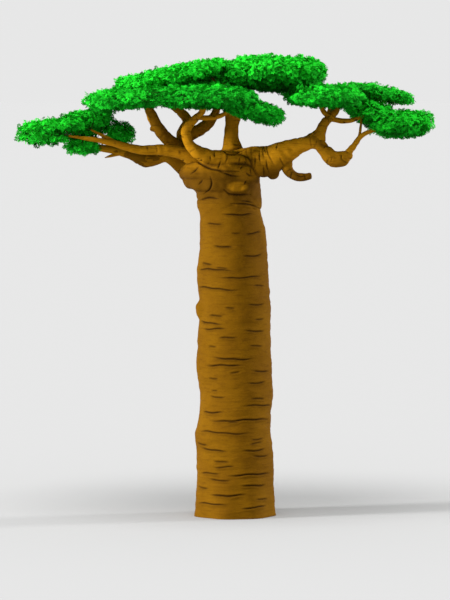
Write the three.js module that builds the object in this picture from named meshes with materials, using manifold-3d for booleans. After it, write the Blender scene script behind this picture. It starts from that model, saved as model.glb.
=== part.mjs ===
// A tall, flat-topped baobab: a massive column of a trunk that swells into a knotted head,
// a ring of short heavy boughs that leave the head, and layered masses of foliage on top.
//
// Millimetres, +Z up. The origin is at ground level in the middle of the trunk's flat cut, the crown
// is widest along X, and the front of the tree faces -Y. Tables are in metres, and `at` turns them
// into millimetres.
import * as THREE from "three";
import { mergeVertices } from "three/addons/utils/BufferGeometryUtils.js";
import Module from "manifold-3d";

const wasm = await Module();
wasm.setup();

// ---------------------------------------------------------------- driving sizes
const METRE = 1000;
const TRUNK_SIDES = 20;
const LIMB_SIDES = 7;
const LIMB_STEP = 1.05 * METRE; // length of limb between two rings
const JOINT_GAP = 2; // what a limb leaves free around the limb or trunk it grows from
const WELD = 0.01; // vertices this close are one vertex

const BARK = { color: 0x8f5f14, roughness: 0.85, metalness: 0 };
const LEAF = { color: 0x15921a, roughness: 0.7, metalness: 0 };

const at = (x, y, z) => new THREE.Vector3(x, y, z).multiplyScalar(METRE);

// ---------------------------------------------------------------- solids
// A geometry's shape alone, with its shared corners merged.
function weld(geometry) {
  const bare = geometry.clone();
  bare.deleteAttribute("normal");
  bare.deleteAttribute("uv");
  return mergeVertices(bare, WELD);
}

function solidOf(geometry) {
  const welded = weld(geometry);
  return new wasm.Manifold(
    new wasm.Mesh({
      numProp: 3,
      vertProperties: welded.attributes.position.array,
      triVerts: new Uint32Array(welded.index.array),
    }),
  );
}

function geometryOf(solid) {
  const mesh = solid.getMesh();
  const geometry = new THREE.BufferGeometry();
  const corners = new THREE.BufferAttribute(mesh.vertProperties, mesh.numProp);
  geometry.setAttribute("position", corners);
  geometry.setIndex(new THREE.BufferAttribute(mesh.triVerts, 1));
  geometry.computeVertexNormals();
  return geometry;
}

// The same shape with every corner moved outwards, for cutting a neighbour with a gap.
function grown(geometry, by) {
  const bigger = weld(geometry);
  bigger.computeVertexNormals();
  const { position, normal } = bigger.attributes;
  const corner = new THREE.Vector3();
  const outwards = new THREE.Vector3();
  for (let i = 0; i < position.count; i++) {
    outwards.fromBufferAttribute(normal, i);
    corner.fromBufferAttribute(position, i).addScaledVector(outwards, by);
    position.setXYZ(i, ...corner);
  }
  return solidOf(bigger);
}

// What is left of a solid in one piece: the largest body, without crumbs from the cuts.
function largestBody(solid) {
  const bodies = solid.decompose();
  return bodies.reduce((best, b) => (b.volume() > best.volume() ? b : best));
}

// Moves every corner of a geometry to where `move` sends it.
function reshape(geometry, move) {
  const { position } = geometry.attributes;
  const corner = new THREE.Vector3();
  for (let i = 0; i < position.count; i++) {
    move(corner.fromBufferAttribute(position, i));
    position.setXYZ(i, ...corner);
  }
  return geometry;
}

// A value read off stations [place, value, ...] by straight lines between them.
function along(stations, place, column) {
  const after = stations.findIndex((s) => s[0] >= place);
  if (after < 0) return stations.at(-1)[column];
  if (after === 0) return stations[0][column];
  const [low, high] = [stations[after - 1], stations[after]];
  const share = (place - low[0]) / (high[0] - low[0]);
  return THREE.MathUtils.lerp(low[column], high[column], share);
}

// Three smooth waves in space, each set going by the seed: an even lumpiness from -1 to 1.
function lumps(seed, place, reach) {
  const wave = (a, b, c, shift) =>
    Math.sin((place.x * a + place.y * b + place.z * c) / reach + shift * seed);
  return (wave(1.0, 0.4, 0.7, 1.7) + wave(-0.5, 1.1, 0.9, 2.9) + wave(0.8, -0.9, 1.3, 4.3)) / 3;
}

// ---------------------------------------------------------------- trunk
// Height, radius, and how far the middle has drifted to the right. The trunk narrows in two slow
// waves, draws in to a neck, and swells again into the head that the boughs grow from.
const TRUNK_STATIONS = [
  [0.0, 2.17, 0.0],
  [2.2, 2.08, 0.02],
  [3.4, 2.08, 0.0],
  [4.4, 2.05, -0.1],
  [5.5, 1.96, 0.02],
  [6.5, 1.99, 0.11],
  [8.0, 2.04, -0.02],
  [9.6, 1.98, -0.02],
  [11.7, 1.93, 0.03],
  [12.8, 1.96, -0.08],
  [14.0, 1.86, -0.07],
  [16.1, 1.71, -0.12],
  [16.65, 1.66, -0.29],
  [17.1, 1.76, -0.25],
  [17.7, 1.98, -0.53],
  [18.4, 2.15, -0.78],
  [19.0, 2.05, -0.76],
  [19.5, 1.6, -0.55],
  [19.8, 0.9, -0.35],
];
const TRUNK_TOP = 19.88;
const ROOT_LOBES = 7;
const ROOT_SWELL = 0.03; // share of the radius, at the ground
const ROOT_HEIGHT = 2.6;
const BURL = { middle: at(-1.9, -0.35, 11.2), radius: 0.36 * METRE, height: 1.4 };

function trunkGeometry() {
  const profile = [new THREE.Vector2(0, 0)];
  for (const [height, radius] of TRUNK_STATIONS) {
    profile.push(new THREE.Vector2(radius, height).multiplyScalar(METRE));
  }
  profile.push(new THREE.Vector2(0, TRUNK_TOP * METRE));
  const column = new THREE.LatheGeometry(profile, TRUNK_SIDES).rotateX(Math.PI / 2);
  return reshape(column, (corner) => {
    const height = corner.z / METRE;
    const angle = Math.atan2(corner.y, corner.x);
    const low = Math.max(0, 1 - height / ROOT_HEIGHT);
    const swell = 1 + ROOT_SWELL * low * Math.cos(ROOT_LOBES * angle + 0.6);
    corner.x = corner.x * swell + along(TRUNK_STATIONS, height, 2) * METRE;
    corner.y *= swell;
  });
}

function burlGeometry() {
  const ball = new THREE.IcosahedronGeometry(BURL.radius, 1);
  ball.scale(1, 1, BURL.height);
  return ball.translate(...BURL.middle);
}

// ---------------------------------------------------------------- limbs
// A round limb along a smooth line through its stations, each a point and the radius there.
function limbGeometry(stations) {
  const line = new THREE.CatmullRomCurve3(stations.map(([x, y, z]) => at(x, y, z)));
  const steps = Math.max(3, Math.round(line.getLength() / LIMB_STEP));
  const frames = line.computeFrenetFrames(steps, false);
  const radii = stations.map((station, i) => [i, station[3] * METRE]);
  const rod = new THREE.CylinderGeometry(1, 1, 1, LIMB_SIDES, steps);
  return reshape(rod, (corner) => {
    const ring = Math.round((corner.y + 0.5) * steps);
    const place = line.getUtoTmapping(ring / steps) * (stations.length - 1);
    const radius = along(radii, place, 1);
    const { x, z } = corner;
    corner.copy(line.getPointAt(ring / steps));
    corner.addScaledVector(frames.normals[ring], x * radius);
    corner.addScaledVector(frames.binormals[ring], -z * radius);
  });
}

// Each limb starts inside the trunk or its parent limb, and ends inside the foliage it carries.
// A station is x, y, z and the radius. Parents come before the limbs that grow from them.
const LIMBS = {
  // Left of the head: two long level boughs, one over the other, and a riser that forks behind
  bough_left_reach: [
    [-1.5, -0.5, 18.9, 0.6],
    [-2.6, -0.9, 19.58, 0.38],
    [-3.8, -1.1, 19.84, 0.3],
    [-5.0, -1.3, 19.85, 0.25],
    [-6.75, -1.7, 20.28, 0.17],
    [-8.9, -1.9, 20.62, 0.05],
  ],
  bough_left_tip: [
    [-6.3, -1.6, 20.18, 0.13],
    [-7.0, -1.5, 20.58, 0.1],
    [-7.7, -1.3, 20.93, 0.05],
  ],
  bough_left_low: [
    [-1.8, 0.5, 18.4, 0.85],
    [-2.9, 0.7, 19.05, 0.5],
    [-3.7, 0.9, 19.43, 0.3],
    [-4.7, 1.0, 19.25, 0.37],
    [-5.7, 1.1, 19.57, 0.26],
    [-7.0, 1.0, 19.88, 0.2],
    [-8.3, 0.6, 19.98, 0.12],
  ],
  bough_left_spike: [
    [-6.1, 1.05, 19.68, 0.16],
    [-6.5, 1.05, 19.56, 0.11],
    [-7.05, 1.0, 19.38, 0.03],
  ],
  bough_left_rise: [
    [-1.2, 0.2, 18.6, 0.8],
    [-2.7, 0.0, 19.75, 0.46],
    [-3.65, -0.3, 20.46, 0.34],
    [-4.17, -0.6, 21.1, 0.29],
    [-4.42, -0.9, 21.7, 0.25],
    [-4.9, -1.3, 22.7, 0.22],
  ],
  bough_left_fork: [
    [-2.9, 0.2, 19.9, 0.36],
    [-2.8, 0.6, 20.75, 0.3],
    [-2.55, 1.0, 21.4, 0.28],
    [-3.0, 1.3, 21.93, 0.25],
    [-3.8, 1.6, 22.7, 0.18],
  ],
  bough_left_cross: [
    [-2.85, 0.5, 20.25, 0.33],
    [-2.25, 1.0, 20.7, 0.32],
    [-1.6, 1.5, 21.12, 0.3],
    [-1.1, 2.0, 21.68, 0.26],
    [-0.8, 2.6, 22.9, 0.16],
  ],
  // In front: a bough that sweeps left across the head, and one that turns up from its end and
  // comes back to the middle
  bough_front_sweep: [
    [0.6, -0.9, 19.0, 0.5],
    [-0.2, -1.4, 19.32, 0.45],
    [-1.2, -1.8, 19.43, 0.4],
    [-2.0, -2.0, 19.74, 0.35],
    [-2.52, -2.1, 20.4, 0.3],
  ],
  bough_front_lift: [
    [-2.42, -2.08, 20.2, 0.31],
    [-2.58, -2.18, 20.8, 0.27],
    [-2.46, -2.24, 21.2, 0.25],
    [-2.15, -2.3, 21.48, 0.23],
    [-1.74, -2.5, 21.92, 0.18],
    [-1.7, -2.8, 22.6, 0.15],
  ],
  bough_front_cross: [
    [-1.95, -2.35, 21.6, 0.15],
    [-1.0, -2.3, 21.62, 0.13],
    [-0.5, -2.4, 21.82, 0.12],
    [0.0, -2.6, 22.4, 0.1],
  ],
  // Middle and back of the head
  bough_middle_rise: [
    [-0.1, 0.3, 18.9, 0.85],
    [-0.1, 0.35, 19.8, 0.6],
    [-0.17, 0.45, 20.4, 0.4],
    [-0.17, 0.5, 21.0, 0.38],
    [-0.05, 0.6, 21.75, 0.48],
    [0.05, 0.7, 23.4, 0.4],
  ],
  bough_rear_left: [
    [-1.3, 1.0, 18.6, 0.75],
    [-3.05, 2.4, 19.85, 0.4],
    [-4.2, 3.6, 20.95, 0.27],
    [-4.8, 4.6, 22.1, 0.24],
    [-5.0, 5.2, 23.3, 0.18],
  ],
  bough_rear_middle: [
    [-0.3, 1.2, 18.8, 0.65],
    [-0.2, 2.8, 20.6, 0.33],
    [-0.15, 4.2, 22.2, 0.26],
    [0.1, 5.2, 23.8, 0.18],
  ],
  bough_rear_right: [
    [0.4, 1.0, 18.7, 0.7],
    [2.2, 2.2, 19.6, 0.42],
    [3.8, 3.4, 20.15, 0.3],
    [4.85, 4.2, 20.95, 0.22],
    [5.3, 4.8, 21.9, 0.18],
    [5.6, 5.0, 22.9, 0.15],
  ],
  // Right of the head: a heavy arm that forks, dips into a loop and comes up again
  bough_right_arm: [
    [-0.3, -0.1, 18.9, 0.9],
    [0.9, -0.3, 19.15, 0.85],
    [1.7, -0.5, 19.25, 0.8],
    [2.58, -0.7, 19.6, 0.68],
    [3.38, -0.9, 20.04, 0.45],
    [4.05, -1.1, 20.25, 0.38],
    [4.75, -1.3, 20.15, 0.36],
  ],
  bough_right_dip: [
    [4.45, -1.25, 20.3, 0.34],
    [4.86, -1.35, 19.8, 0.39],
    [5.28, -1.45, 19.38, 0.43],
    [5.75, -1.55, 19.37, 0.41],
    [6.14, -1.65, 19.64, 0.27],
  ],
  bough_right_return: [
    [6.0, -1.6, 19.57, 0.22],
    [6.38, -1.7, 20.08, 0.15],
    [6.82, -1.75, 20.63, 0.13],
    [7.5, -1.7, 20.94, 0.1],
    [8.3, -1.5, 21.2, 0.07],
  ],
  bough_right_sprig: [
    [6.66, -1.72, 20.48, 0.09],
    [6.75, -1.4, 20.95, 0.07],
    [6.85, -0.8, 21.8, 0.05],
  ],
  bough_right_rise: [
    [4.52, -1.2, 20.15, 0.36],
    [4.64, -1.1, 20.85, 0.3],
    [4.85, -0.95, 21.3, 0.24],
    [5.16, -0.8, 21.57, 0.2],
    [5.48, -0.7, 21.93, 0.14],
    [5.62, -0.6, 22.6, 0.11],
  ],
  bough_right_crook: [
    [5.14, -0.8, 21.6, 0.16],
    [4.83, -0.75, 21.86, 0.15],
    [4.65, -0.7, 22.2, 0.12],
    [4.55, -0.7, 22.8, 0.1],
  ],
  bough_right_cross: [
    [5.25, -0.78, 21.5, 0.15],
    [5.85, -0.9, 21.4, 0.14],
    [6.35, -1.0, 21.45, 0.12],
    [7.1, -0.8, 21.8, 0.08],
  ],
  bough_right_hook: [
    [2.78, -0.75, 19.25, 0.36],
    [2.9, -0.8, 18.72, 0.3],
    [3.28, -0.85, 18.42, 0.24],
    [3.72, -0.85, 18.37, 0.22],
    [4.13, -0.85, 18.46, 0.15],
  ],
};

// ---------------------------------------------------------------- foliage
// Each mass is a pad: the middle of its rim, how far it reaches along X and Y, how high it stands
// over the rim and how deep it hangs below it, and how steeply it climbs along X and along Y.
// A later mass gives way to the earlier ones.
const MASSES = {
  mass_top_right: {
    rim: [2.15, 0.8, 24.1], reach: [2.9, 4.8],
    rise: 0.85, drop: 1.1, climb: [0, 0],
  },
  mass_top_left: {
    rim: [-3.2, 0.3, 23.8], reach: [3.04, 4.8],
    rise: 0.6, drop: 0.5, climb: [0.21, 0],
  },
  mass_low_left: {
    rim: [-5.45, -0.6, 22.55], reach: [2.45, 4.4],
    rise: 0.82, drop: 0.4, climb: [0.15, 0.01],
  },
  mass_low_middle: {
    rim: [-1.9, -4.0, 22.6], reach: [3.1, 4.9],
    rise: 0.75, drop: 0.4, climb: [0, 0.03],
  },
  mass_low_tongue: {
    rim: [0.85, -3.0, 22.1], reach: [1.85, 3.2],
    rise: 0.6, drop: 0.65, climb: [-0.25, 0.02],
  },
  mass_front_left: {
    rim: [-5.7, -5.4, 22.6], reach: [1.9, 2.8],
    rise: 0.5, drop: 0.4, climb: [0.04, 0.05],
  },
  mass_front_right: {
    rim: [4.9, -4.4, 22.7], reach: [1.9, 2.9],
    rise: 0.45, drop: 0.32, climb: [0, 0.05],
  },
  mass_rear_left: {
    rim: [-3.5, 6.1, 23.5], reach: [3.3, 3.0],
    rise: 0.65, drop: 0.55, climb: [0.06, -0.03],
  },
  mass_rear_middle: {
    rim: [1.2, 5.9, 23.9], reach: [3.0, 3.3],
    rise: 0.7, drop: 0.6, climb: [0, -0.03],
  },
  mass_rear_right: {
    rim: [5.6, 4.8, 22.8], reach: [2.4, 2.9],
    rise: 0.5, drop: 0.4, climb: [-0.05, -0.03],
  },
  mass_rear_far_left: {
    rim: [-6.5, 4.2, 22.55], reach: [1.8, 2.6],
    rise: 0.55, drop: 0.35, climb: [0.05, -0.03],
  },
  mass_left_reach: {
    rim: [-9.75, -0.3, 21.12], reach: [1.95, 3.0],
    rise: 0.42, drop: 0.3, climb: [0.1, 0],
  },
  mass_left_reach_low: {
    rim: [-10.2, -0.6, 20.6], reach: [1.55, 2.1],
    rise: 0.35, drop: 0.42, climb: [0, 0],
  },
  mass_left_shoulder: {
    rim: [-8.1, 0.8, 21.55], reach: [1.55, 2.9],
    rise: 0.45, drop: 1.05, climb: [0.1, 0],
  },
  mass_left_under: {
    rim: [-8.25, 0.1, 20.12], reach: [0.95, 1.9],
    rise: 0.6, drop: 0.58, climb: [0, 0],
  },
  mass_left_inner: {
    rim: [-6.25, 1.2, 20.75], reach: [0.85, 1.7],
    rise: 0.65, drop: 0.66, climb: [-0.1, 0],
  },
  mass_right_shoulder: {
    rim: [4.85, 0.0, 22.6], reach: [2.2, 3.8],
    rise: 0.78, drop: 0.44, climb: [-0.05, 0],
  },
  mass_right_tongue: {
    rim: [7.6, 1.5, 22.83], reach: [2.15, 3.4],
    rise: 0.55, drop: 0.3, climb: [-0.17, 0],
  },
  mass_right_under: {
    rim: [7.45, 0.6, 21.85], reach: [1.5, 2.8],
    rise: 0.8, drop: 0.8, climb: [-0.3, 0],
  },
  mass_right_lobe: {
    rim: [9.0, -0.8, 21.2], reach: [1.72, 3.0],
    rise: 0.85, drop: 0.68, climb: [0, 0],
  },
};
const PAD_LARGE = 3.05; // a pad that reaches further than this is made of finer facets
const PAD_SQUARE = 2.6; // how boxy a pad is: 2 would be round
const PAD_LUMP = 0.09; // lumps, as a share of the size
const PAD_GRAIN = 0.35;
const PAD_GAP = 0.005; // how much larger the cutting pad is, as a share of the size

// A pad, or the same pad a little larger all round for cutting its neighbours.
function padGeometry({ rim, reach, rise, drop, climb }, seed, scale = 1) {
  const pad = new THREE.IcosahedronGeometry(1, Math.min(...reach) > PAD_LARGE ? 3 : 2);
  return reshape(pad, (corner) => {
    const sum = [...corner].reduce((total, c) => total + Math.abs(c) ** PAD_SQUARE, 0);
    const lump = 1 + PAD_LUMP * lumps(seed, corner, PAD_GRAIN);
    const swell = scale * lump * sum ** (-1 / PAD_SQUARE);
    const x = corner.x * reach[0] * swell;
    const y = corner.y * reach[1] * swell;
    const z = corner.z * (corner.z > 0 ? rise : drop) * swell + x * climb[0] + y * climb[1];
    corner.copy(at(rim[0] + x, rim[1] + y, rim[2] + z));
  });
}

// ---------------------------------------------------------------- assembly
const tree = new THREE.Group();

function addNode(name, solid, finish) {
  const mesh = new THREE.Mesh(geometryOf(solid), new THREE.MeshStandardMaterial(finish));
  mesh.name = name;
  tree.add(mesh);
}

const trunk = solidOf(trunkGeometry()).add(solidOf(burlGeometry()));
addNode("trunk", trunk, BARK);

const woodCutters = [grown(trunkGeometry(), JOINT_GAP)];
const leafCutters = [];
for (const [name, mass] of Object.entries(MASSES)) {
  const seed = leafCutters.length + 1;
  let solid = solidOf(padGeometry(mass, seed));
  for (const cutter of leafCutters) solid = solid.subtract(cutter);
  leafCutters.push(solidOf(padGeometry(mass, seed, 1 + PAD_GAP)));
  addNode(name, largestBody(solid), LEAF);
}
for (const [name, limb] of Object.entries(LIMBS)) {
  const rod = limbGeometry(limb);
  let solid = solidOf(rod);
  for (const cutter of [...woodCutters, ...leafCutters]) solid = solid.subtract(cutter);
  woodCutters.push(grown(rod, JOINT_GAP));
  addNode(name, largestBody(solid), BARK);
}

export default tree;
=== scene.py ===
"""Looks of a tall flat-topped baobab, built over its faceted solids.

The trunk and boughs are bark with a worked relief. Every mass of foliage is replaced by branches,
twigs and leaves that grow on from the boughs by a seeded branching rule. Sizes are in metres, +Z is
up, the origin is the middle of the trunk's flat cut at ground level, and the front faces -Y.
"""

import logging
import math
from dataclasses import dataclass, field
from enum import Enum
from typing import Iterable, NamedTuple

import bmesh
import bpy
import numpy as np
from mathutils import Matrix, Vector
from mathutils.bvhtree import BVHTree
from mathutils.kdtree import KDTree


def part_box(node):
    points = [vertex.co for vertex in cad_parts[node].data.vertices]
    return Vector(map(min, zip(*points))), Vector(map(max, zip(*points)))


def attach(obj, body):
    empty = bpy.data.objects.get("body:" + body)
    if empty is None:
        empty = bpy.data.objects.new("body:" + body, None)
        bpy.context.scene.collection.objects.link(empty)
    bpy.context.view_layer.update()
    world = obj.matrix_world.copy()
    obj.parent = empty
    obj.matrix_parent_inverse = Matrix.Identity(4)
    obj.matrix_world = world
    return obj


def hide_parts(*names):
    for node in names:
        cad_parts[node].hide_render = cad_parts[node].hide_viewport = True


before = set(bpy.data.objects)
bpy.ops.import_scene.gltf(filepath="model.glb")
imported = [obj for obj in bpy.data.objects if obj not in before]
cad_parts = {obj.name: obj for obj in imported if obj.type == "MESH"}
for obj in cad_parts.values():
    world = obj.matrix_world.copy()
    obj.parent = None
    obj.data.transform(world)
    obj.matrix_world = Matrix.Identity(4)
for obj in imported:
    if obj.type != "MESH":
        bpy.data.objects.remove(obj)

logging.basicConfig(level=logging.INFO, format="%(message)s")
log = logging.getLogger("baobab")

BODY = "root"
UP = np.array([0.0, 0.0, 1.0])
Colour = tuple[float, float, float]


# ------------------------------------------------------------------------------ small mathematics
def unit(vectors: np.ndarray) -> np.ndarray:
    """Scale each row to length one."""
    return vectors / np.maximum(np.linalg.norm(vectors, axis=-1, keepdims=True), 1e-9)


def smooth_step(values: np.ndarray, low: float, high: float) -> np.ndarray:
    """Rise smoothly from 0 at low to 1 at high."""
    share = np.clip((values - low) / (high - low), 0.0, 1.0)
    return share * share * (3.0 - 2.0 * share)


def within_half_turn(angles: np.ndarray) -> np.ndarray:
    """Bring angles between minus and plus half a turn."""
    return (angles + math.pi) % (2 * math.pi) - math.pi


def lengths_along(points: np.ndarray) -> np.ndarray:
    """Give how far along a line each of its points lies."""
    return np.concatenate([[0], np.cumsum(np.linalg.norm(np.diff(points, axis=0), axis=1))])


def through(places: np.ndarray, stations: np.ndarray, values: np.ndarray) -> np.ndarray:
    """Read smooth values off stations.

    Args:
        places: Where to read, in any order.
        stations: Rising places with a known value.
        values: The value, or row of values, at each station.

    Returns:
        The cubic curve through the stations, read at the places.
    """
    slopes = np.gradient(values, stations, axis=0)
    after = np.clip(np.searchsorted(stations, places), 1, len(stations) - 1)
    low, high = after - 1, after
    span = stations[high] - stations[low]
    t = np.clip((places - stations[low]) / span, 0.0, 1.0)
    if values.ndim > 1:
        t, span = t[:, None], span[:, None]
    return (
        values[low] * (2 * t**3 - 3 * t**2 + 1)
        + slopes[low] * span * (t**3 - 2 * t**2 + t)
        + values[high] * (3 * t**2 - 2 * t**3)
        + slopes[high] * span * (t**3 - t**2)
    )


def nearest(places: np.ndarray, points: np.ndarray) -> tuple[np.ndarray, np.ndarray]:
    """Find the nearest of some points to each place.

    Args:
        places: The places, one row each.
        points: The points to choose from, one row each.

    Returns:
        The number of each place's nearest point, and how far off it is.
    """
    index = np.empty(len(places), int)
    gap = np.empty(len(places))
    batch = 4000
    for low in range(0, len(places), batch):
        part = slice(low, low + batch)
        apart = np.linalg.norm(places[part, None] - points[None], axis=2)
        index[part] = apart.argmin(axis=1)
        gap[part] = apart.min(axis=1)
    return index, gap


class Waves:
    """A smooth field of crossed waves, the same for the same seed."""

    pace: tuple = (0.6, 1.9)  # how much slower and faster than the middle the waves run

    def __init__(self, seed: int, reach: float, count: int = 14, stretch: tuple = (1, 1, 1)) -> None:
        """Choose the waves.

        Args:
            seed: Which field.
            reach: About how far apart its swellings lie, in metres.
            count: How many waves are crossed.
            stretch: How many times longer its swellings are along X, Y and Z.
        """
        rng = np.random.default_rng(seed)
        self.turns = unit(rng.normal(size=(count, 3))) * rng.uniform(*self.pace, (count, 1))
        self.turns *= 2 * math.pi / reach / 2 / np.array(stretch, float)
        self.shifts = rng.uniform(0, 2 * math.pi, count)

    def at(self, points: np.ndarray) -> np.ndarray:
        """Give the field at each point, mostly between -1 and 1."""
        total = np.zeros(len(points))
        for turn, shift in zip(self.turns, self.shifts):
            total += np.sin(points @ turn + shift)
        return total / math.sqrt(len(self.shifts))


# ------------------------------------------------------------------------------ finishes
class Leaf(Enum):
    """The greens of the foliage, each a plain colour that is dealt out by spray: lighter and darker copies
    of one green that paint light on the lit parts of the masses and shade along their undersides.
    """

    TIP = (0.012, 0.480, 0.018)
    TOP = (0.007, 0.315, 0.012)
    MID = (0.005, 0.270, 0.010)
    LOW = (0.004, 0.190, 0.007)
    DEEP = (0.003, 0.110, 0.004)


@dataclass(frozen=True)
class LeafFinish:
    """A leaf's plain colour, with a slight wax."""

    shade: Leaf
    roughness: float = 0.8
    specular: float = 0.02

    def material(self) -> bpy.types.Material:
        """Make the material."""
        made = bpy.data.materials.new(f"leaf_{self.shade.name.lower()}")
        made.use_nodes = True
        shader = made.node_tree.nodes["Principled BSDF"]
        shader.inputs["Base Color"].default_value = (*self.shade.value, 1.0)
        shader.inputs["Roughness"].default_value = self.roughness
        shader.inputs["Specular IOR Level"].default_value = self.specular
        return made


class NodeBench:
    """A material's node tree, with the few tools that the bark needs."""

    def __init__(self, name: str) -> None:
        """Start a material with a plain shader."""
        self.made = bpy.data.materials.new(name)
        self.made.use_nodes = True
        self.nodes = self.made.node_tree.nodes
        self.links = self.made.node_tree.links
        self.shader = self.nodes["Principled BSDF"]
        self.place = self.nodes.new("ShaderNodeTexCoord").outputs["Object"]

    def noise(self, scale: float, squash: float, detail: float) -> bpy.types.NodeSocket:
        """Spread noise over the object.

        Args:
            scale: How many swellings there are to a metre.
            squash: How many times flatter than wide they are, so that they lie in level bands.
            detail: How many finer layers are added.

        Returns:
            The noise, from 0 to 1.
        """
        mapping = self.nodes.new("ShaderNodeMapping")
        mapping.inputs["Scale"].default_value = (1.0, 1.0, squash)
        self.links.new(self.place, mapping.inputs["Vector"])
        texture = self.nodes.new("ShaderNodeTexNoise")
        texture.inputs["Scale"].default_value = scale
        texture.inputs["Detail"].default_value = detail
        texture.inputs["Roughness"].default_value = 0.6
        self.links.new(mapping.outputs["Vector"], texture.inputs["Vector"])
        return texture.outputs["Fac"]

    def spread(self, value: bpy.types.NodeSocket, low: float, high: float) -> bpy.types.NodeSocket:
        """Stretch a value so that low becomes 0 and high becomes 1.

        Args:
            value: The value to stretch.
            low: What becomes 0.
            high: What becomes 1.

        Returns:
            The stretched value, kept from 0 to 1.
        """
        ranged = self.nodes.new("ShaderNodeMapRange")
        ranged.inputs["From Min"].default_value = low
        ranged.inputs["From Max"].default_value = high
        self.links.new(value, ranged.inputs["Value"])
        return ranged.outputs["Result"]

    def total(self, first: bpy.types.NodeSocket, second: bpy.types.NodeSocket) -> bpy.types.NodeSocket:
        """Add two values.

        Args:
            first: One value.
            second: The other.

        Returns:
            Their sum.
        """
        summed = self.nodes.new("ShaderNodeMath")
        summed.operation = "ADD"
        self.links.new(first, summed.inputs[0])
        self.links.new(second, summed.inputs[1])
        return summed.outputs[0]

    def stored(self, name: str) -> bpy.types.NodeSocket:
        """Read a value that is stored at the corners of the piece."""
        attribute = self.nodes.new("ShaderNodeAttribute")
        attribute.attribute_name = name
        return attribute.outputs["Fac"]

    def mix(
        self,
        first: bpy.types.NodeSocket | Colour,
        second: Colour,
        share: bpy.types.NodeSocket,
        strength: float,
    ) -> bpy.types.NodeSocket:
        """Mix a colour in.

        Args:
            first: The colour so far.
            second: The colour to mix in.
            share: Where it goes, from 0 to 1.
            strength: How much of it goes there at most.

        Returns:
            The mixed colour.
        """
        scaled = self.nodes.new("ShaderNodeMath")
        scaled.operation = "MULTIPLY"
        scaled.use_clamp = True
        scaled.inputs[1].default_value = strength
        self.links.new(share, scaled.inputs[0])
        mixed = self.nodes.new("ShaderNodeMix")
        mixed.data_type = "RGBA"
        if isinstance(first, tuple):
            mixed.inputs["A"].default_value = (*first, 1.0)
        else:
            self.links.new(first, mixed.inputs["A"])
        mixed.inputs["B"].default_value = (*second, 1.0)
        self.links.new(scaled.outputs[0], mixed.inputs["Factor"])
        return mixed.outputs["Result"]


@dataclass(frozen=True)
class BarkFinish:
    """Ochre bark with brown drifts, level streaks and pores, with painted shade in its creases and on the
    head, and painted light higher up and on pale patches.
    """

    name: str
    light: Colour = (0.158, 0.069, 0.0013)
    middle: Colour = (0.127, 0.053, 0.0011)
    dark: Colour = (0.076, 0.030, 0.0010)
    # Painted shade: the near-black brown laid in the creases, rings and crotches
    crease: Colour = (0.014, 0.005, 0.0010)
    # Painted shade: the head's darker colour stands in for the shade that falls on it under the boughs
    head: Colour = (0.082, 0.034, 0.0012)
    # Partly younger bark and partly painted light: the much lighter colour of the higher boughs and of the
    # pale patches
    young_and_painted_light: Colour = (0.405, 0.177, 0.0040)
    head_painted_shade_band: tuple = (16.9, 17.3, 18.3, 18.9)  # painted shade: the bark of the head is darkened, and the darkening ends higher up
    young_and_painted_light_band: tuple = (18.6, 19.5)  # partly younger bark and partly painted light: from here up the bark is lighter, where the crown shades the boughs
    # Noises: swellings to a metre, how many times flatter than wide they are, and finer layers
    drift: tuple = (0.55, 1.0, 4.0)
    streak: tuple = (1.3, 7.0, 6.0)
    grain: tuple = (7.0, 3.0, 8.0)
    lumps: tuple = (3.5, 5.0, 8.0)
    # Where in a noise its colour starts and is full, and how strong it is there
    drift_colour: tuple = (0.38, 0.62, 0.9)
    streak_colour: tuple = (0.52, 0.74, 0.6)
    grain_colour: tuple = (0.55, 0.75, 0.4)
    head_painted_shade_strength: float = 0.7
    young_and_painted_light_strength: float = 0.85
    roughness: float = 0.85
    specular: float = 0.03
    bump: float = 0.6
    bump_depth: float = 0.03

    def material(self) -> bpy.types.Material:
        """Mix the coats of colour and raise the grain.

        Returns:
            The material.
        """
        bench = NodeBench(self.name)
        bench.shader.inputs["Roughness"].default_value = self.roughness
        bench.shader.inputs["Specular IOR Level"].default_value = self.specular
        drift, streak, grain = (bench.noise(*noise) for noise in (self.drift, self.streak, self.grain))
        split = bench.nodes.new("ShaderNodeSeparateXYZ")
        bench.links.new(bench.place, split.inputs["Vector"])
        height = split.outputs["Z"]
        start, full, ends, gone = self.head_painted_shade_band
        # Each coat of colour: where it goes, its colour and its strength
        coats = (
            (bench.spread(drift, *self.drift_colour[:2]), self.light, self.drift_colour[2]),
            # painted shade on the head, which ends higher up
            (bench.spread(height, start, full), self.head, self.head_painted_shade_strength),
            (bench.spread(height, ends, gone), self.middle, 1.0),
            # the higher boughs are lightened, partly as younger bark and partly as painted light, and the
            # pale patches as painted light
            (bench.spread(height, *self.young_and_painted_light_band), self.young_and_painted_light, self.young_and_painted_light_strength),
            (bench.stored("pale"), self.young_and_painted_light, 1.0),
            (bench.spread(streak, *self.streak_colour[:2]), self.dark, self.streak_colour[2]),
            (bench.spread(grain, *self.grain_colour[:2]), self.dark, self.grain_colour[2]),
            # painted shade in the creases, rings and crotches; on the branches this coat is instead the
            # green of the shoots, and on the slender limbs random dark streaks
            (bench.stored("crease"), self.crease, 1.0),
        )
        colour = self.middle
        for share, coat, strength in coats:
            colour = bench.mix(colour, coat, share, strength)
        bench.links.new(colour, bench.shader.inputs["Base Color"])
        bump = bench.nodes.new("ShaderNodeBump")
        bump.inputs["Strength"].default_value = self.bump
        bump.inputs["Distance"].default_value = self.bump_depth
        bench.links.new(bench.total(bench.noise(*self.lumps), grain), bump.inputs["Height"])
        bench.links.new(bump.outputs["Normal"], bench.shader.inputs["Normal"])
        return bench.made


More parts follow.
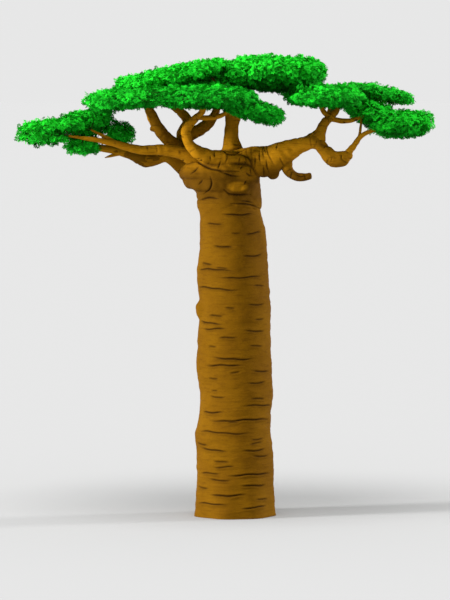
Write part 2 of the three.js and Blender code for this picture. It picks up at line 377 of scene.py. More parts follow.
# ------------------------------------------------------------------------------ pieces
def finish_piece(
    mesh: bpy.types.Mesh,
    name: str,
    materials: Iterable[bpy.types.Material],
    stands_for: Iterable[str] = (),
) -> None:
    """Put a mesh in the scene as one piece of the tree.

    Args:
        mesh: The shape, in the frame of the row.
        name: The piece's name.
        materials: The piece's materials, in slot order.
        stands_for: The solids that the piece stands for.
    """
    piece = bpy.data.objects.new(name, mesh)
    mesh.name = name
    for material in materials:
        mesh.materials.append(material)
    bpy.context.scene.collection.objects.link(piece)
    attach(piece, BODY)
    if stands_for:
        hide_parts(*stands_for)
    triangles = len(mesh.loops) - 2 * len(mesh.polygons)
    log.info("%s: about %d triangles", name, triangles)


def mesh_from_triangles(
    corners: np.ndarray, faces: np.ndarray, shades: np.ndarray | None = None
) -> bpy.types.Mesh:
    """Join many small shapes in one mesh.

    Args:
        corners: The corners, one row each.
        faces: Three corner numbers for each face.
        shades: The material number of each face, or None for the first material.

    Returns:
        The mesh.
    """
    mesh = bpy.data.meshes.new("joined")
    mesh.vertices.add(len(corners))
    mesh.vertices.foreach_set("co", corners.astype(np.float32).ravel())
    mesh.loops.add(faces.size)
    mesh.loops.foreach_set("vertex_index", faces.astype(np.int32).ravel())
    mesh.polygons.add(len(faces))
    mesh.polygons.foreach_set("loop_start", np.arange(0, faces.size, 3, dtype=np.int32))
    if shades is not None:
        mesh.polygons.foreach_set("material_index", shades.astype(np.int32))
    mesh.update(calc_edges=True)
    return mesh


def corners_of(mesh: bpy.types.Mesh) -> np.ndarray:
    """Read the corners of a mesh, one row each."""
    flat = np.empty(len(mesh.vertices) * 3, np.float32)
    mesh.vertices.foreach_get("co", flat)
    return flat.reshape(-1, 3).astype(float)


def normals_of(mesh: bpy.types.Mesh) -> np.ndarray:
    """Read the outward direction at each corner of a mesh."""
    flat = np.empty(len(mesh.vertices) * 3, np.float32)
    mesh.vertices.foreach_get("normal", flat)
    return flat.reshape(-1, 3).astype(float)


def set_corners(mesh: bpy.types.Mesh, corners: np.ndarray) -> None:
    """Move the corners of a mesh."""
    mesh.vertices.foreach_set("co", corners.astype(np.float32).ravel())
    mesh.update()


def store(mesh: bpy.types.Mesh, name: str, values: np.ndarray) -> None:
    """Store a value from 0 to 1 at each corner, for the bark's colour."""
    layer = mesh.attributes.new(name, "FLOAT", "POINT")
    layer.data.foreach_set("value", np.clip(values, 0.0, 1.0).astype(np.float32))


def rolled_grid(around: int, rows: int) -> tuple[bmesh.types.BMesh, np.ndarray]:
    """Make a flat grid that is ready to be rolled into a tube.

    Args:
        around: Faces round the tube.
        rows: Faces along it.

    Returns:
        The grid, and for each corner its turn round the tube in radians and its share of the length.
    """
    grid = bmesh.new()
    bmesh.ops.create_grid(grid, x_segments=around, y_segments=rows, size=0.5)
    flat = np.array([corner.co[:2] for corner in grid.verts])
    low, high = flat.min(axis=0), flat.max(axis=0)
    share = (flat - low) / (high - low)
    return grid, np.column_stack([share[:, 0] * 2 * math.pi, share[:, 1]])


def close_tube(grid: bmesh.types.BMesh, corners: np.ndarray, weld: float) -> bpy.types.Mesh:
    """Roll a grid up, weld its seam, close its ends and turn its faces outwards.

    Args:
        grid: The flat grid, which is used up.
        corners: Where each of its corners goes.
        weld: Corners nearer together than this become one.

    Returns:
        The closed mesh.
    """
    for corner, place in zip(grid.verts, corners):
        corner.co = place
    bmesh.ops.remove_doubles(grid, verts=grid.verts, dist=weld)
    bmesh.ops.holes_fill(grid, edges=[e for e in grid.edges if e.is_boundary])
    bmesh.ops.recalc_face_normals(grid, faces=grid.faces)
    mesh = bpy.data.meshes.new("tube")
    grid.to_mesh(mesh)
    grid.free()
    return mesh


def shade_smooth(mesh: bpy.types.Mesh) -> None:
    """Let light run smoothly over a mesh."""
    mesh.polygons.foreach_set("use_smooth", np.ones(len(mesh.polygons), bool))
    mesh.update()


# ------------------------------------------------------------------------------ bark
class Fold(NamedTuple):
    """A level crease in the bark: its height, and where it starts and ends, in radians."""

    height: float
    start: float
    end: float


@dataclass
class Folds:
    """The level creases round a trunk, each with a soft lip above and below it, and painted shade in and
    below it.
    """

    folds: list[Fold]
    depth: float = 0.055
    width: float = 0.034
    wander: float = 0.05
    reach: float = 0.45  # no corner is moved that lies further above or below a crease
    fades: tuple = (0.45, 1.08)  # shares of half its length between which a crease runs out
    lip: float = 0.3  # how far its lips stand out, against its depth
    lip_place: float = 2.3  # how far from its middle they stand, against its width
    painted_shade_below: float = 0.28  # painted shade: how dark the bark is painted just below it, under its lip
    painted_shade_below_reach: float = 3.8
    seed: int = 5

    def press(self, angles: np.ndarray, heights: np.ndarray) -> tuple[np.ndarray, np.ndarray]:
        """Press the creases into a surface.

        Args:
            angles: The turn of each corner, with 0 in front and growing to the right.
            heights: The height of each corner.

        Returns:
            How far each corner moves out, and how deep in a crease it lies, from 0 to 1.
        """
        rng = np.random.default_rng(self.seed)
        move = np.zeros(len(angles))
        dark = np.zeros(len(angles))
        for fold in self.folds:
            shift, tilt, size = rng.uniform(0, 6.3), rng.normal(0, 0.02), rng.uniform(0.75, 1.25)
            near = np.flatnonzero(np.abs(heights - fold.height) < self.reach)
            middle, half = (fold.start + fold.end) / 2, abs(fold.end - fold.start) / 2
            turn = within_half_turn(angles[near] - middle)
            inside = np.abs(turn) < half * 1.1
            hit, turn = near[inside], turn[inside]
            level = fold.height + self.wander * np.sin(turn * 3.1 + shift) + tilt * turn
            level += self.wander * 0.35 * np.sin(turn * 11.0 + 2 * shift)
            away = (heights[hit] - level) / (self.width * (0.8 + 0.4 * size))
            fade = 1 - smooth_step(np.abs(turn) / half, *self.fades)
            strong = min(1.0, 0.55 + half)
            groove = np.exp(-(away**2)) * fade * strong
            lip = np.exp(-((np.abs(away) - self.lip_place) ** 2) / 1.6) * fade * strong
            move[hit] += self.depth * size * (self.lip * lip - groove)
            painted_shade_below = self.painted_shade_below * np.exp(-((away / self.painted_shade_below_reach) ** 2)) * fade * strong * (away < 0.5)
            # painted shade: the groove and the bark just below it are darkened
            dark[hit] = np.maximum(dark[hit], np.maximum(groove, painted_shade_below))
        return move, dark


@dataclass
class Trunk:
    """The trunk up to its neck: a column in slow waves, with creases, dents and a burl."""

    # Height, radius, and how far the middle drifts to the right
    stations: tuple = (
        (0.0, 2.19, 0.0),
        (0.35, 2.15, 0.0),
        (1.0, 2.11, 0.01),
        (2.2, 2.08, 0.02),
        (3.4, 2.09, 0.0),
        (4.4, 2.06, -0.1),
        (5.5, 1.965, 0.02),
        (6.5, 1.99, 0.11),
        (8.0, 2.04, -0.02),
        (9.6, 1.98, -0.02),
        (11.7, 1.93, 0.03),
        (12.8, 1.96, -0.08),
        (14.0, 1.86, -0.07),
        (15.2, 1.77, -0.08),
        (15.9, 1.72, -0.13),
        (16.3, 1.66, -0.2),
        (16.8, 1.67, -0.31),
        (17.1, 1.65, -0.34),
        (17.3, 1.5, -0.34),
    )
    # Creases in front: height, and where they start and end to the left and right of the middle
    front_folds: tuple = (
        (16.42, -0.5, 1.3), (15.84, -1.41, -0.46), (15.37, -0.1, 0.45), (15.39, 0.6, 1.6),
        (14.65, -1.14, 0.05), (14.2, 0.44, 1.6), (13.76, -1.75, -1.15), (13.4, -1.9, 0.15),
        (13.56, -0.97, -0.22), (13.04, -0.78, 1.6), (12.6, 1.05, 1.7), (12.4, -1.95, 0.45),
        (11.58, 0.6, 1.6),
        (11.42, -0.57, 0.0), (10.9, -1.5, -0.62), (10.55, -1.93, -0.6), (10.23, -1.73, -0.38),
        (10.79, 1.05, 1.56), (10.09, 0.49, 1.65), (9.74, -0.86, 0.2), (9.36, 0.78, 1.55),
        (9.31, -1.45, -0.95), (8.66, -1.18, 1.15), (8.25, -1.6, 0.65), (7.9, 0.95, 1.9),
        (7.93, -0.3, 0.35), (7.61, -1.45, -0.9), (7.36, 0.6, 1.65), (6.9, -1.4, -1.0),
        (6.53, -1.5, -0.6), (6.5, 0.73, 1.55), (6.06, 0.3, 1.95), (5.75, -1.85, -0.62),
        (5.31, -1.45, 1.9), (5.16, -0.4, 0.3), (4.65, -1.9, 1.05), (4.31, 0.95, 1.65),
        (4.06, 0.85, 1.6), (3.93, -2.0, -1.4), (3.7, -1.8, -0.3), (3.72, 0.45, 1.7),
        (3.33, 0.95, 1.8), (3.09, -1.2, -0.25), (2.8, -1.2, 0.05), (2.39, -1.85, -0.75),
        (2.35, -0.5, 1.95), (2.05, -1.45, -0.2), (1.82, 0.3, 1.7), (1.58, -2.0, -1.45),
        (1.3, -1.45, 0.75), (1.02, 1.1, 1.85), (0.75, -2.0, -0.3), (0.6, 0.3, 1.8),
    )
    around: int = 156
    rows: int = 600
    roots: int = 7
    root_swell: float = 0.03
    root_height: float = 2.6
    burl: tuple = (11.2, -1.40, 0.24)  # height, turn, and how far it stands out
    burl_size: tuple = (0.42, 0.22)  # half its height, and half its width in radians
    # Uneven growth: how far it stands out, seed, reach, number of waves, and stretch
    growth: tuple = (
        (0.030, 1, 2.2, 14, (1, 1, 1.4)),
        (0.016, 2, 0.55, 14, (2.2, 2.2, 0.8)),
        (0.006, 3, 0.22, 18, (2.5, 2.5, 0.7)),
    )
    # Creases behind: lowest, highest and gap between them, and half their widths in radians
    rear_heights: tuple = (0.5, 15.9, 0.2)
    rear_halves: tuple = (0.14, 0.25, 0.45, 0.7)
    seed: int = 11

    def folds(self) -> Folds:
        """Give the creases: those in front where they are known, and seeded ones behind."""
        stations = np.array(self.stations)
        made = []
        for height, start, end in self.front_folds:
            radius = np.interp(height, stations[:, 0], stations[:, 1]) * 1.02
            made.append(Fold(height, math.asin(start / radius), math.asin(end / radius)))
        rng = np.random.default_rng(self.seed)
        for height in np.arange(*self.rear_heights):
            middle = rng.uniform(0.58, 1.42) * math.pi
            half = rng.choice(self.rear_halves)
            made.append(Fold(height + rng.uniform(-0.12, 0.12), middle - half, middle + half))
        return Folds(made)

    def mesh(self) -> bpy.types.Mesh:
        """Build the trunk.

        Returns:
            The closed mesh, with the painted shade of its creases stored.
        """
        grid, places = rolled_grid(self.around, self.rows)
        stations = np.array(self.stations)
        heights = places[:, 1] * stations[-1, 0]
        angles = places[:, 0]
        radius, drift = through(heights, stations[:, 0], stations[:, 1:]).T
        low = np.clip(1 - heights / self.root_height, 0, 1)
        radius *= 1 + self.root_swell * low * np.cos(self.roots * (angles - math.pi / 2) + 0.6)
        turn = angles % (2 * math.pi)
        plain = np.column_stack([np.sin(turn) * 2, -np.cos(turn) * 2, heights])
        for out, *waves in self.growth:
            radius += out * Waves(*waves).at(plain)
        height, at, out = self.burl
        away = within_half_turn(turn - at)
        reach = ((heights - height) / self.burl_size[0]) ** 2 + (away / self.burl_size[1]) ** 2
        radius += out * np.exp(-(reach**1.5))
        move, dark = self.folds().press(turn, heights)
        radius += move
        ring = np.column_stack([np.sin(turn), -np.cos(turn)]) * radius[:, None]
        corners = np.column_stack([ring[:, 0] + drift, ring[:, 1], heights])
        # the painted shade of the creases is stored for the bark's colour
        layer = grid.verts.layers.float.new("crease")
        for corner, value in zip(grid.verts, dark):
            corner[layer] = value
        mesh = close_tube(grid, corners, 1e-4)
        shade_smooth(mesh)
        return mesh


class Side(Enum):
    """Which part of the crown a limb bears, or a mass of foliage belongs to."""

    LEFT = "left"
    TOP = "top"
    MIDDLE = "middle"
    RIGHT = "right"
    FRONT = "front"


@dataclass(frozen=True)
class Limb:
    """One tapering limb: x, y, z and radius at each station, and where twigs may start on it."""

    name: str
    side: Side
    stations: tuple
    bears_from: float = 0.85  # share of the length from which twigs start, or over 1 for none
    bare: bool = False  # no spray hangs in front of a bare limb
    shade: float = 0.0  # painted shade: how much darker than most its bark is painted, for the shade it lies in, from 0 to 1

    def line(self, step: float) -> np.ndarray:
        """Give points and radii at even steps along the limb, one row each."""
        known = np.array(self.stations, float)
        lengths = lengths_along(known[:, :3])
        count = max(4, int(lengths[-1] / step))
        line = through(np.linspace(0, lengths[-1], count), lengths, known)
        line[:, 3] = np.maximum(line[:, 3], 0.012)
        return line

    def tube(self, around: int, step: float) -> bpy.types.Mesh:
        """Build the limb as a closed tube.

        Args:
            around: Faces round the limb.
            step: Length of a row of faces.

        Returns:
            The mesh.
        """
        line = self.line(step)
        grid, places = rolled_grid(around, len(line) - 1)
        rows = np.rint(places[:, 1] * (len(line) - 1)).astype(int)
        side, over = carried_frames(line[:, :3])
        ring = np.cos(places[:, :1]) * side[rows] + np.sin(places[:, :1]) * over[rows]
        return close_tube(grid, line[rows, :3] + ring * line[rows, 3:], 1e-4)


def carried_frames(points: np.ndarray) -> tuple[np.ndarray, np.ndarray]:
    """Carry two directions across a line along it without twisting them.

    Args:
        points: The points of the line, in order.

    Returns:
        Both directions at each point, square to each other and to the line.
    """
    ahead = unit(np.gradient(points, axis=0))
    side = np.empty_like(points)
    start = np.cross(ahead[0], UP if abs(ahead[0, 2]) < 0.9 else np.array([1.0, 0.0, 0.0]))
    side[0] = unit(start)
    for i in range(1, len(points)):
        side[i] = unit(side[i - 1] - ahead[i] * (side[i - 1] @ ahead[i]))
    return side, np.cross(ahead, side)


LIMBS = (
    Limb("left_reach", Side.LEFT, (
        (-1.5, -0.5, 18.9, 0.6), (-2.6, -0.9, 19.58, 0.38), (-3.8, -1.1, 19.84, 0.3),
        (-5.0, -1.3, 19.85, 0.25), (-6.75, -1.7, 20.28, 0.17), (-8.9, -1.9, 20.62, 0.05),
    ), 0.8, True),
    Limb("left_tip", Side.LEFT, (
        (-6.3, -1.6, 20.18, 0.13), (-7.0, -1.5, 20.58, 0.1), (-7.7, -1.3, 20.93, 0.05),
    ), 0.9, True),
    Limb("left_low", Side.LEFT, (
        (-1.8, 0.5, 18.4, 0.85), (-2.9, 0.7, 19.05, 0.5), (-3.7, 0.9, 19.43, 0.3),
        (-4.7, 1.0, 19.25, 0.37), (-5.7, 1.1, 19.57, 0.26), (-7.0, 1.0, 19.88, 0.2),
        (-8.3, 0.6, 19.98, 0.12),
    ), 0.75, shade=0.5),
    Limb("left_spike", Side.LEFT, (
        (-6.1, 1.05, 19.68, 0.16), (-6.5, 1.05, 19.56, 0.11), (-7.05, 1.0, 19.38, 0.03),
    ), 2.0),
    Limb("left_rise", Side.MIDDLE, (
        (-1.2, 0.2, 18.6, 0.8), (-2.7, 0.0, 19.75, 0.46), (-3.65, -0.3, 20.46, 0.34),
        (-4.17, -0.6, 21.1, 0.29), (-4.42, -0.9, 21.7, 0.25), (-4.9, -1.3, 22.7, 0.22),
    ), shade=0.42),
    Limb("left_fork", Side.TOP, (
        (-2.9, 0.2, 19.9, 0.36), (-2.8, 0.6, 20.75, 0.3), (-2.55, 1.0, 21.4, 0.28),
        (-3.0, 1.3, 21.93, 0.25), (-3.8, 1.6, 22.7, 0.18),
    )),
    Limb("left_cross", Side.TOP, (
        (-2.85, 0.5, 20.25, 0.33), (-2.25, 1.0, 20.7, 0.32), (-1.6, 1.5, 21.12, 0.3),
        (-1.1, 2.0, 21.68, 0.26), (-0.8, 2.6, 22.9, 0.16),
    )),
    Limb("front_sweep", Side.MIDDLE, (
        (1.1, -0.45, 18.85, 0.42), (-0.2, -1.4, 19.3, 0.45), (-1.2, -1.8, 19.43, 0.4),
        (-2.0, -2.0, 19.74, 0.35), (-2.52, -2.1, 20.4, 0.3), (-2.56, -2.2, 21.0, 0.26),
        (-2.15, -2.3, 21.48, 0.23), (-1.74, -2.5, 21.92, 0.18), (-1.7, -2.8, 22.6, 0.15),
    ), 0.92),
    Limb("front_cross", Side.MIDDLE, (
        (-1.95, -2.35, 21.6, 0.15), (-1.0, -2.3, 21.62, 0.13), (-0.5, -2.4, 21.82, 0.12),
        (0.0, -2.6, 22.4, 0.1),
    )),
    Limb("middle_rise", Side.TOP, (
        (-0.1, 0.3, 18.9, 0.85), (-0.1, 0.35, 19.8, 0.6), (-0.17, 0.45, 20.4, 0.4),
        (-0.17, 0.5, 21.0, 0.38), (-0.05, 0.6, 21.75, 0.48), (0.05, 0.7, 23.4, 0.4),
    ), 0.8),
    Limb("middle_top", Side.TOP, (
        (0.05, 0.8, 23.3, 0.16), (1.0, 1.6, 23.85, 0.16), (2.3, 2.0, 24.05, 0.13), (3.8, 1.8, 24.05, 0.08),
    ), 0.2),
    Limb("rear_left", Side.TOP, (
        (-1.3, 1.0, 18.6, 0.75), (-3.05, 2.4, 19.85, 0.4), (-4.2, 3.6, 20.95, 0.27),
        (-4.8, 4.6, 22.1, 0.24), (-5.0, 5.2, 23.3, 0.18),
    ), 0.8),
    Limb("rear_middle", Side.TOP, (
        (-0.3, 1.2, 18.8, 0.65), (-0.2, 2.8, 20.6, 0.33), (-0.15, 4.2, 22.2, 0.26),
        (0.1, 5.2, 23.8, 0.18),
    ), 0.75),
    Limb("rear_right", Side.RIGHT, (
        (0.4, 1.0, 18.7, 0.7), (2.2, 2.2, 19.6, 0.42), (3.8, 3.4, 20.15, 0.3),
        (4.85, 4.2, 20.95, 0.22), (5.3, 4.8, 21.9, 0.18), (5.6, 5.0, 22.9, 0.15),
    ), 0.85),
    Limb("right_arm", Side.RIGHT, (
        (-0.3, -0.1, 18.9, 0.9), (0.9, -0.3, 19.15, 0.85), (1.7, -0.5, 19.25, 0.8),
        (2.58, -0.7, 19.6, 0.68), (3.38, -0.9, 20.04, 0.45), (4.05, -1.1, 20.25, 0.38),
        (4.75, -1.3, 20.15, 0.36),
    ), 2.0),
    Limb("right_dip", Side.RIGHT, (
        (4.45, -1.25, 20.3, 0.34), (4.86, -1.35, 19.8, 0.39), (5.28, -1.45, 19.4, 0.43),
        (5.75, -1.55, 19.39, 0.4), (6.14, -1.65, 19.62, 0.26),
    ), 2.0, shade=0.25),
    Limb("right_return", Side.RIGHT, (
        (6.0, -1.6, 19.57, 0.22), (6.38, -1.7, 20.08, 0.15), (6.82, -1.75, 20.63, 0.13),
        (7.5, -1.7, 20.94, 0.1), (8.3, -1.5, 21.2, 0.07),
    ), 0.85),
    Limb("right_sprig", Side.RIGHT, (
        (6.66, -1.72, 20.48, 0.09), (6.75, -1.4, 20.95, 0.07), (6.85, -0.8, 21.8, 0.05),
    ), 0.85),
    Limb("right_rise", Side.RIGHT, (
        (4.52, -1.2, 20.15, 0.36), (4.64, -1.1, 20.85, 0.3), (4.85, -0.95, 21.3, 0.24),
        (5.16, -0.8, 21.57, 0.2), (5.48, -0.7, 21.93, 0.14), (5.62, -0.6, 22.6, 0.11),
    ), shade=0.2),
    Limb("right_crook", Side.RIGHT, (
        (5.14, -0.8, 21.6, 0.16), (4.83, -0.75, 21.86, 0.15), (4.65, -0.7, 22.2, 0.12),
        (4.55, -0.7, 22.8, 0.1),
    )),
    Limb("right_front", Side.FRONT, (
        (4.7, -0.72, 22.1, 0.12), (4.8, -1.8, 22.5, 0.1), (4.85, -3.2, 22.7, 0.08), (4.9, -4.6, 22.75, 0.05),
    ), 0.45),
    Limb("right_cross", Side.RIGHT, (
        (5.25, -0.78, 21.5, 0.15), (5.85, -0.9, 21.4, 0.14), (6.35, -1.0, 21.45, 0.12),
        (7.1, -0.8, 21.8, 0.08),
    )),
    Limb("right_hook", Side.RIGHT, (
        (2.78, -0.75, 19.25, 0.36), (2.9, -0.8, 18.72, 0.3), (3.28, -0.85, 18.42, 0.24),
        (3.72, -0.85, 18.37, 0.22), (4.13, -0.85, 18.46, 0.15),
    ), 2.0),
)


@dataclass(frozen=True)
class Stroke:
    """A crease that runs freely over the front of the head or a bough: x and z of its points."""

    points: tuple
    width: float = 0.04
    depth: float = 0.06

    def press(self, corners: np.ndarray) -> np.ndarray:
        """Tell how deep in the crease each corner lies.

        Args:
            corners: Corners on the front of the wood.

        Returns:
            A share from 0 to 1 for each.
        """
        line = np.array(self.points, float)
        lengths = lengths_along(line)
        places = np.linspace(0, lengths[-1], max(4, int(lengths[-1] / 0.03)))
        dots = through(places, lengths, line)
        flat = corners[:, [0, 2]]
        near = np.flatnonzero(np.all((flat > dots.min(0) - 0.2) & (flat < dots.max(0) + 0.2), axis=1))
        groove = np.zeros(len(corners))
        if len(near):
            gaps = np.linalg.norm(flat[near][:, None] - dots[None], axis=2)
            share = places[gaps.argmin(axis=1)] / lengths[-1]
            thin = 0.45 + 0.55 * np.sin(np.pi * np.clip(share, 0.04, 0.96))
            groove[near] = np.exp(-((gaps.min(axis=1) / (self.width * thin)) ** 2)) * thin
        return groove


@dataclass
class Boughs:
    """The head of the trunk and its heavy boughs, grown together in one skin of bark."""

    # The head's profile: height, radius, and how far the middle drifts to the right
    head: tuple = (
        (16.45, 1.45, -0.24),
        (16.7, 1.56, -0.28),
        (16.86, 1.72, -0.29),
        (17.05, 1.78, -0.29),
        (17.35, 1.8, -0.31),
        (17.6, 1.88, -0.42),
        (17.9, 1.97, -0.56),
        (18.3, 2.08, -0.7),
        (18.7, 2.12, -0.77),
        (19.1, 1.95, -0.76),
        (19.5, 1.5, -0.55),
        (19.8, 0.8, -0.35),
    )
    tilt: float = -0.15  # the head's lower rim drops to the right
    # Fat rolls on the left of the head: lowest and highest point, and how far they stand out
    rolls: tuple = ((17.22, 17.54, 0.07), (17.54, 18.28, 0.13), (18.28, 18.95, 0.13))
    # Knots and the swellings behind the creases of the head: place and radius
    knots: tuple = (
        (-4.42, -0.62, 21.0, 0.17), (6.12, -1.62, 19.55, 0.24), (4.27, -1.1, 20.62, 0.14),
        (-0.55, 1.55, 19.3, 0.35), (2.1, -0.55, 18.55, 0.3),
        (-0.1, -1.52, 17.84, 0.42), (0.45, -1.43, 17.8, 0.4),
    )
    # Painted light: patches of pale bark on the front of the head, where light falls on it and its bulges:
    # x, z, half width, half height, and how pale
    painted_light_patches: tuple = (
        (0.16, 17.9, 0.62, 0.3, 0.62), (0.75, 18.7, 0.85, 0.6, 0.3), (0.0, 19.35, 0.9, 0.35, 0.3),
    )
    limbs: tuple = LIMBS
    voxel: float = 0.041
    slender: float = 0.17  # a limb that is thinner than this at its root keeps a skin of its own
    fine: float = 0.13  # and so does one that is thinner than this at its tip
    smoothing: int = 7
    ring_width: float = 0.036
    crotch_width: float = 0.075
    seed: int = 31  # where the rings run
    partings: tuple = (-1.9, 1.75)  # where the skin is parted, on either side of the head
    strokes: tuple = (
        Stroke((
            (-3.25, 19.78), (-2.8, 19.52), (-2.3, 19.42), (-1.5, 18.98), (-0.7, 18.76), (0.2, 18.72),
        ), 0.06, 0.11),
        Stroke(((-0.8, 18.74), (-0.45, 18.6), (-0.2, 18.5), (0.28, 18.46)), 0.045, 0.08),
        Stroke(((-2.95, 18.83), (-2.7, 19.12))),
        Stroke(((-2.36, 18.55), (-1.96, 18.98))),
        Stroke(((-1.93, 18.0), (-1.72, 18.24))),
        Stroke(((-1.3, 18.45), (-1.22, 18.05), (-1.35, 17.72), (-1.62, 17.5)), 0.045, 0.07),
        Stroke(((-0.55, 17.72), (-0.3, 17.52), (0.1, 17.46), (0.85, 17.46)), 0.055, 0.09),
        Stroke(((-1.85, 17.1), (-1.45, 17.27), (-0.82, 17.22)), 0.05, 0.08),
        Stroke(((0.28, 17.13), (0.65, 17.1), (1.0, 17.02)), 0.04, 0.06),
        Stroke(((-0.2, 16.97), (0.4, 16.96), (0.85, 16.9), (1.4, 16.66)), 0.05, 0.08),
        Stroke(((0.6, 18.67), (0.75, 18.52), (0.98, 18.46))),
        Stroke(((0.53, 19.28), (0.72, 19.1))),
        Stroke(((0.28, 18.82), (0.44, 19.02))),
        Stroke(((0.5, 18.0), (0.64, 18.24))),
        Stroke(((-1.3, 19.58), (-1.3, 19.28))),
        Stroke(((-1.1, 19.75), (-1.06, 19.5))),
        Stroke(((-0.74, 19.28), (-0.88, 18.86))),
        Stroke(((-0.72, 19.88), (-0.35, 19.64), (0.1, 19.7), (0.62, 19.92)), 0.045, 0.08),
        Stroke(((0.27, 19.1), (0.3, 19.5))),
        Stroke(((1.08, 18.9), (1.1, 19.5)), 0.035),
        Stroke(((1.36, 19.1), (1.33, 19.85)), 0.035),
        Stroke(((1.58, 18.45), (1.54, 19.0)), 0.035),
        Stroke(((1.85, 18.6), (1.74, 18.95), (1.72, 19.35)), 0.035),
        Stroke(((1.66, 19.7), (1.6, 19.98)), 0.035),
        Stroke(((2.24, 19.85), (2.32, 20.16)), 0.035),
        Stroke(((0.9, 18.5), (0.82, 18.95)), 0.035),
        Stroke(((4.38, 20.16), (4.4, 20.42)), 0.03),
        Stroke(((4.75, 19.9), (4.9, 20.12)), 0.03),
        Stroke(((5.18, 19.25), (5.22, 19.5)), 0.03),
        Stroke(((5.7, 19.3), (5.74, 19.66)), 0.03),
        Stroke(((3.35, 18.5), (3.6, 18.42), (3.9, 18.44)), 0.03),
    )

    def head_tube(self) -> bpy.types.Mesh:
        """Build the head as a closed barrel whose lower rim is tilted."""
        stations = np.array(self.head)
        grid, places = rolled_grid(72, 66)
        heights = stations[0, 0] + places[:, 1] * (stations[-1, 0] - stations[0, 0])
        radius, drift = through(heights, stations[:, 0], stations[:, 1:]).T
        ring = np.column_stack([np.sin(places[:, 0]), -np.cos(places[:, 0])]) * radius[:, None]
        left = np.clip(-np.sin(places[:, 0]) + 0.25, 0, 1) ** 0.7
        for low, high, out in self.rolls:
            share = np.clip((heights - low) / (high - low), 0, 1)
            ring *= 1 + (out * left * np.sin(math.pi * share**0.55) / radius)[:, None]
        x = ring[:, 0] + drift
        slant = self.tilt * x * (1 - smooth_step(heights, 17.1, 17.9))
        return close_tube(grid, np.column_stack([x, ring[:, 1], heights + slant]), 1e-4)

    def skin(self) -> bpy.types.Mesh:
        """Grow the head and the heavy boughs together.

        Returns:
            One closed mesh, with the painted shade of its creases stored.
        """
        joined = bmesh.new()
        joined.from_mesh(self.head_tube())
        for limb in self.limbs:
            if limb.stations[0][3] > self.slender:
                joined.from_mesh(limb.tube(24, 0.1))
        for *place, radius in self.knots:
            knot = bmesh.ops.create_icosphere(joined, subdivisions=3, radius=radius)
            bmesh.ops.translate(joined, verts=knot["verts"], vec=place)
        rough = bpy.data.meshes.new("rough")
        joined.to_mesh(rough)
        joined.free()
        holder = bpy.data.objects.new("rough", rough)
        bpy.context.scene.collection.objects.link(holder)
        remesh = holder.modifiers.new("skin", "REMESH")
        remesh.mode = "VOXEL"
        remesh.voxel_size = self.voxel
        mesh = bpy.data.meshes.new_from_object(holder.evaluated_get(bpy.context.evaluated_depsgraph_get()))
        bpy.data.objects.remove(holder)
        shaped = bmesh.new()
        shaped.from_mesh(mesh)
        for _ in range(self.smoothing):
            bmesh.ops.smooth_vert(
                shaped, verts=shaped.verts, factor=0.5, use_axis_x=True, use_axis_y=True, use_axis_z=True
            )
        shaped.to_mesh(mesh)
        shaped.free()
        self.work_relief(mesh)
        shade_smooth(mesh)
        return mesh

    def thirds(self) -> list[bpy.types.Mesh]:
        """Part the skin in three closed pieces.

        Returns:
            The pieces, from left to right.
        """
        whole = self.skin()
        made = []
        for low, high in ((None, self.partings[0]), self.partings, (self.partings[1], None)):
            shape = bmesh.new()
            shape.from_mesh(whole)
            for place, outwards in ((low, -1), (high, 1)):
                if place is not None:
                    bmesh.ops.bisect_plane(
                        shape,
                        geom=[*shape.verts, *shape.edges, *shape.faces],
                        plane_co=(place, 0, 0),
                        plane_no=(outwards, 0, 0),
                        clear_outer=True,
                    )
            rim = [edge for edge in shape.edges if edge.is_boundary]
            bmesh.ops.holes_fill(shape, edges=rim)
            for edge in rim:
                edge.smooth = False
            part = bpy.data.meshes.new("third")
            shape.to_mesh(part)
            shape.free()
            made.append(part)
        return made

    def work_relief(self, mesh: bpy.types.Mesh) -> None:
        """Work lumps, crotches, rings and creases into the skin, and paint shade into them.

        Args:
            mesh: The skin, whose corners are moved and told how dark they are painted for shade and how pale
                for light.
        """
        corners, outwards = corners_of(mesh), normals_of(mesh)
        rings, crotch, shade = self.rings(corners)
        crotch *= np.clip(0.75 + 0.45 * Waves(25, 1.2).at(corners), 0.2, 1)
        move = -0.04 * rings - 0.05 * crotch
        # painted shade: rings, crotches and shaded limbs are darkened
        dark = np.maximum(np.maximum(rings * 0.85, crotch * 0.8), shade)
        level = np.clip((corners[:, 2] - 16.9) / 0.4, 0, 1)
        front = smooth_step(-outwards[:, 1], 0.05, 0.3)
        # painted shade: each stroke is darkened as well as pressed in
        for stroke in self.strokes:
            groove = stroke.press(corners) * front * (corners[:, 1] < 0.2)
            move -= stroke.depth * groove
            dark = np.maximum(dark, groove)
        move += 0.030 * Waves(21, 1.0).at(corners) * level
        move += 0.012 * Waves(22, 0.3, 20).at(corners)
        set_corners(mesh, corners + outwards * move[:, None])
        store(mesh, "crease", dark)
        # painted light: pale patches where light falls on the front of the head
        pale = np.zeros(len(corners))
        for x, z, wide, high, share in self.painted_light_patches:
            gap = np.hypot((corners[:, 0] - x) / wide, (corners[:, 2] - z) / high)
            pale = np.maximum(pale, share * (1 - smooth_step(gap, 0.6, 1.1)) * (corners[:, 1] < 0))
        store(mesh, "pale", pale)

    def head_gap(self, corners: np.ndarray) -> np.ndarray:
        """Give how far each corner stands outside the head's barrel, roughly."""
        stations = np.array(self.head)
        radius, drift = through(corners[:, 2], stations[:, 0], stations[:, 1:]).T
        out = np.hypot(corners[:, 0] - drift, corners[:, 1]) - radius
        return np.maximum(out, corners[:, 2] - 19.3)

